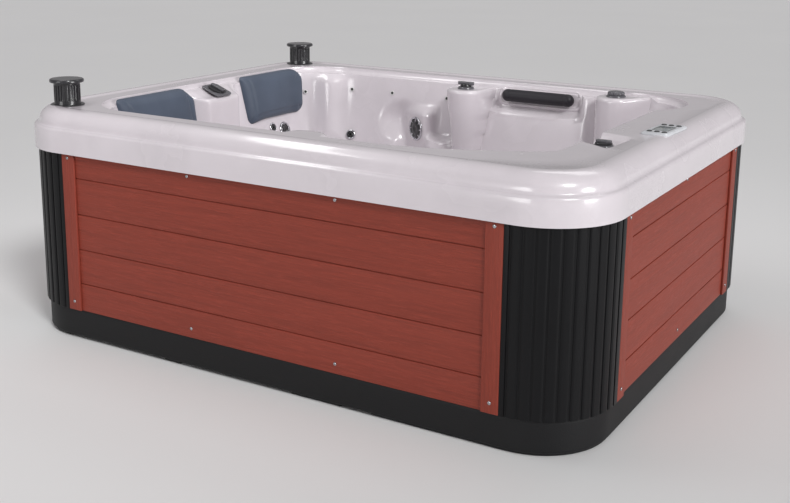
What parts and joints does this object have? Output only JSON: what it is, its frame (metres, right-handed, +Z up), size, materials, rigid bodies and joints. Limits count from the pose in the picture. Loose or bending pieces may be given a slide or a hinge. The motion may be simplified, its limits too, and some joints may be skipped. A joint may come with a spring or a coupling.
{
  "type": "hot tub",
  "caption": "Rectangular six-place hot tub with moulded shell, panelled cabinet, head pillows, pop-up speakers, valves, jets and a control panel.",
  "frame": {"origin": "centre of the base pan's underside", "axes": "+X towards the end with the control panel, -Y towards the long side seen in the picture, +Z up"},
  "size_m": [2.15, 1.7, 0.885],
  "materials": {
    "shell": "glossy",
    "dark_red_panel": "satin wood-grain",
    "pan_black": "matte",
    "frame_timber": "sawn",
    "foam": "matte",
    "screw_steel": "brushed",
    "pillow_skin": "matte",
    "black_trim": "satin",
    "dark_grey_trim": "satin",
    "panel_silver": "satin",
    "screen": "glossy",
    "jet_grey": "glossy",
    "body_grey": "matte",
    "lens": "clear",
    "weir_white": "matte",
    "pump_metal": "satin",
    "pump_plastic": "matte",
    "heater_steel": "brushed",
    "box_metal": "satin",
    "pipe_white": "satin",
    "hose": "matte",
    "cover_black": "satin, ribbed",
    "bolster_skin": "matte"
  },
  "bodies": {
    "tub": {"tub_shell": "shell", "base_pan": "pan_black", "floor_pad": "foam", "frame_posts": "frame_timber", "frame_rails": "frame_timber", "front_panel": "dark_red_panel", "back_panel": "dark_red_panel", "left_panel": "dark_red_panel", "right_panel": "dark_red_panel", "cabinet_battens": "dark_red_panel", "corner_covers": "cover_black", "cabinet_screws": "screw_steel", "pillow_front_left": "pillow_skin", "pillow_back_left": "pillow_skin", "bolster_pillow": "bolster_skin", "speaker_sleeves": "dark_grey_trim", "panel_housing": "panel_silver", "panel_display": "screen", "diverter_plate": "dark_grey_trim", "lever_collar": "dark_grey_trim", "round_collar": "dark_grey_trim", "air_collar": "dark_grey_trim", "jet_bodies": "body_grey", "small_jets": "jet_grey", "air_injectors": "jet_grey", "suction_covers": "jet_grey", "floor_drain": "jet_grey", "light_body": "body_grey", "light_lens": "lens", "skimmer_frame": "jet_grey", "filter_canister": "body_grey", "pump_motor": "pump_metal", "pump_wet_end": "pump_plastic", "heater": "heater_steel", "control_box": "box_metal", "air_blower": "pump_plastic", "water_pipes": "pipe_white", "jet_hoses": "hose", "drain_pipe": "pipe_white"},
    "speaker_front": {"speaker_front": "black_trim", "speaker_cap_front": "dark_grey_trim"},
    "speaker_back": {"speaker_back": "black_trim", "speaker_cap_back": "dark_grey_trim"},
    "panel_button_1": {"panel_button_1": "black_trim"},
    "panel_button_2": {"panel_button_2": "black_trim"},
    "panel_button_3": {"panel_button_3": "black_trim"},
    "panel_button_4": {"panel_button_4": "black_trim"},
    "panel_button_5": {"panel_button_5": "black_trim"},
    "panel_button_6": {"panel_button_6": "black_trim"},
    "diverter_knob": {"diverter_knob": "black_trim"},
    "lever_handle": {"lever_handle": "black_trim"},
    "round_knob": {"round_knob": "black_trim"},
    "air_knob": {"air_knob": "black_trim"},
    "foot_jet_face": {"foot_jet_face": "jet_grey"},
    "seat_jet_face_1": {"seat_jet_face_1": "jet_grey"},
    "seat_jet_face_2": {"seat_jet_face_2": "jet_grey"},
    "seat_jet_face_3": {"seat_jet_face_3": "jet_grey"},
    "seat_jet_face_4": {"seat_jet_face_4": "jet_grey"},
    "skimmer_weir": {"skimmer_weir": "weir_white"}
  },
  "joints": [
    {"name": "speaker_front_slide", "type": "slide", "parent": "tub", "child": "speaker_front", "axis": [0, 0, 1], "range_m": [-0.0743, 0]},
    {"name": "speaker_back_slide", "type": "slide", "parent": "tub", "child": "speaker_back", "axis": [0, 0, 1], "range_m": [-0.0743, 0]},
    {"name": "panel_button_1_slide", "type": "slide", "parent": "tub", "child": "panel_button_1", "axis": [0, 0, -1], "range_m": [0, 0.0012], "stiffness_N_per_m": 600},
    {"name": "panel_button_2_slide", "type": "slide", "parent": "tub", "child": "panel_button_2", "axis": [0, 0, -1], "range_m": [0, 0.0012], "stiffness_N_per_m": 600},
    {"name": "panel_button_3_slide", "type": "slide", "parent": "tub", "child": "panel_button_3", "axis": [0, 0, -1], "range_m": [0, 0.0012], "stiffness_N_per_m": 600},
    {"name": "panel_button_4_slide", "type": "slide", "parent": "tub", "child": "panel_button_4", "axis": [0, 0, -1], "range_m": [0, 0.0012], "stiffness_N_per_m": 600},
    {"name": "panel_button_5_slide", "type": "slide", "parent": "tub", "child": "panel_button_5", "axis": [0, 0, -1], "range_m": [0, 0.0012], "stiffness_N_per_m": 600},
    {"name": "panel_button_6_slide", "type": "slide", "parent": "tub", "child": "panel_button_6", "axis": [0, 0, -1], "range_m": [0, 0.0012], "stiffness_N_per_m": 600},
    {"name": "diverter_knob_turn", "type": "hinge", "parent": "tub", "child": "diverter_knob", "pos_m": [-0.843, 0, 0.76198], "axis": [0.3613, 0, 0.9324], "range_deg": [-90, 90]},
    {"name": "lever_handle_turn", "type": "hinge", "parent": "tub", "child": "lever_handle", "pos_m": [-0.024, 0.572, 0.771], "axis": [0, 0, 1], "range_deg": [0, 90]},
    {"name": "round_knob_turn", "type": "hinge", "parent": "tub", "child": "round_knob", "pos_m": [0.588, 0.628, 0.785], "axis": [0, 0, 1], "range_deg": [0, 270]},
    {"name": "air_knob_turn", "type": "hinge", "parent": "tub", "child": "air_knob", "pos_m": [0.868, -0.25, 0.771], "axis": [0, 0, 1], "range_deg": [0, 180]},
    {"name": "foot_jet_face_turn", "type": "hinge", "parent": "tub", "child": "foot_jet_face", "pos_m": [-0.2846, 0.62669, 0.571], "axis": [-0.4801, -0.8772, 0], "range_deg": [0, 90]},
    {"name": "seat_jet_face_1_turn", "type": "hinge", "parent": "tub", "child": "seat_jet_face_1", "pos_m": [-0.82956, 0.4358, 0.54], "axis": [0.9567, -0.0016, 0.291], "range_deg": [0, 90]},
    {"name": "seat_jet_face_2_turn", "type": "hinge", "parent": "tub", "child": "seat_jet_face_2", "pos_m": [-0.82808, -0.31245, 0.535], "axis": [0.955, 0, 0.2967], "range_deg": [0, 90]},
    {"name": "seat_jet_face_3_turn", "type": "hinge", "parent": "tub", "child": "seat_jet_face_3", "pos_m": [0.50272, -0.5878, 0.56], "axis": [-0.295, 0.9123, 0.284], "range_deg": [0, 90]},
    {"name": "seat_jet_face_4_turn", "type": "hinge", "parent": "tub", "child": "seat_jet_face_4", "pos_m": [0.75861, 0.17861, 0.56], "axis": [-0.96, 0, 0.28], "range_deg": [0, 90]},
    {"name": "skimmer_weir_turn", "type": "hinge", "parent": "tub", "child": "skimmer_weir", "pos_m": [-0.203, -0.66126, 0.654], "axis": [1, 0, 0], "range_deg": [0, 28], "stiffness_Nm_per_rad": 0.05, "springref_deg": -17.19}
  ]
}
